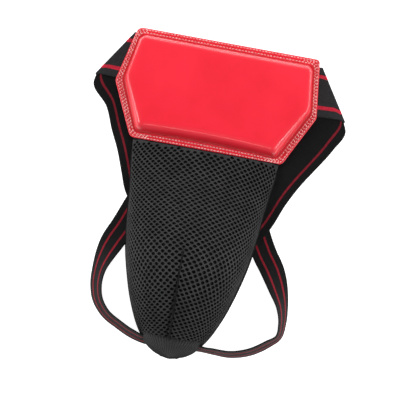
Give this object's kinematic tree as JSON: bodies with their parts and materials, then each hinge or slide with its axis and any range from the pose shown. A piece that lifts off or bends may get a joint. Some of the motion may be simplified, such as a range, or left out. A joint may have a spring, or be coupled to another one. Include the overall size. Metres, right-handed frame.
{
  "type": "groin protector",
  "caption": "Groin guard with a padded belly panel, a hard cup in a mesh pocket, a waist elastic folded under it and two leg elastics.",
  "frame": {"origin": "middle of the base of the bounding box, on the surface that the guard lies on", "axes": "+Y towards the waist, +Z out of the guard's front, +X to the right seen from the front"},
  "size_m": [0.256, 0.322, 0.06],
  "materials": {
    "red_leather": "smooth glossy synthetic leather",
    "foam_firm": "closed-cell foam",
    "foam_soft": "open-cell foam",
    "lining": "plain woven lining",
    "thread": "polyester thread",
    "elastic": "woven elastic with two red stripes",
    "webbing": "woven tape",
    "spacer_mesh": "knitted spacer mesh with small holes",
    "cup_plastic": "moulded polyethylene",
    "rim_rubber": "soft moulded rubber"
  },
  "bodies": {
    "pocket": {"mesh_front": "spacer_mesh", "front_backing": "lining", "dart_tape": "webbing", "upper_pocket_foam": "foam_soft", "pocket_edge_binding": "webbing", "hinge_tape": "webbing", "cup_shell": "cup_plastic", "cup_lining": "lining", "rear_panel": "lining", "cup_rim_cushion": "rim_rubber", "tip_anchor_tab": "webbing", "waist_band_rear_left": "elastic", "waist_band_rear_right": "elastic", "rear_joint_tab": "webbing", "left_leg_strap_ends": "elastic", "left_leg_tab": "webbing", "right_leg_strap_ends": "elastic", "right_leg_tab": "webbing"},
    "pad": {"pad_cover": "red_leather", "pad_foam_core": "foam_firm", "pad_soft_foam": "foam_soft", "pad_lining": "lining", "pad_stitch_rows": "thread", "waist_band_left": "elastic", "waist_band_right": "elastic", "band_anchor_left": "webbing", "band_anchor_right": "webbing"},
    "left_loop": {"left_leg_strap": "elastic"},
    "right_loop": {"right_leg_strap": "elastic"}
  },
  "joints": [
    {"name": "pad_fold", "type": "hinge", "parent": "pocket", "child": "pad", "pos_m": [-0.0045, 0.0505, 0.0065], "axis": [1, 0, 0], "range_deg": [0, 60]},
    {"name": "left_leg_swing", "type": "hinge", "parent": "pocket", "child": "left_loop", "pos_m": [-0.0765, -0.0335, 0.0036], "axis": [-0.1895, 0.9819, 0], "range_deg": [0, 50]},
    {"name": "right_leg_swing", "type": "hinge", "parent": "pocket", "child": "right_loop", "pos_m": [0.0715, -0.0335, 0.0036], "axis": [-0.2169, -0.9762, 0], "range_deg": [0, 50]}
  ]
}
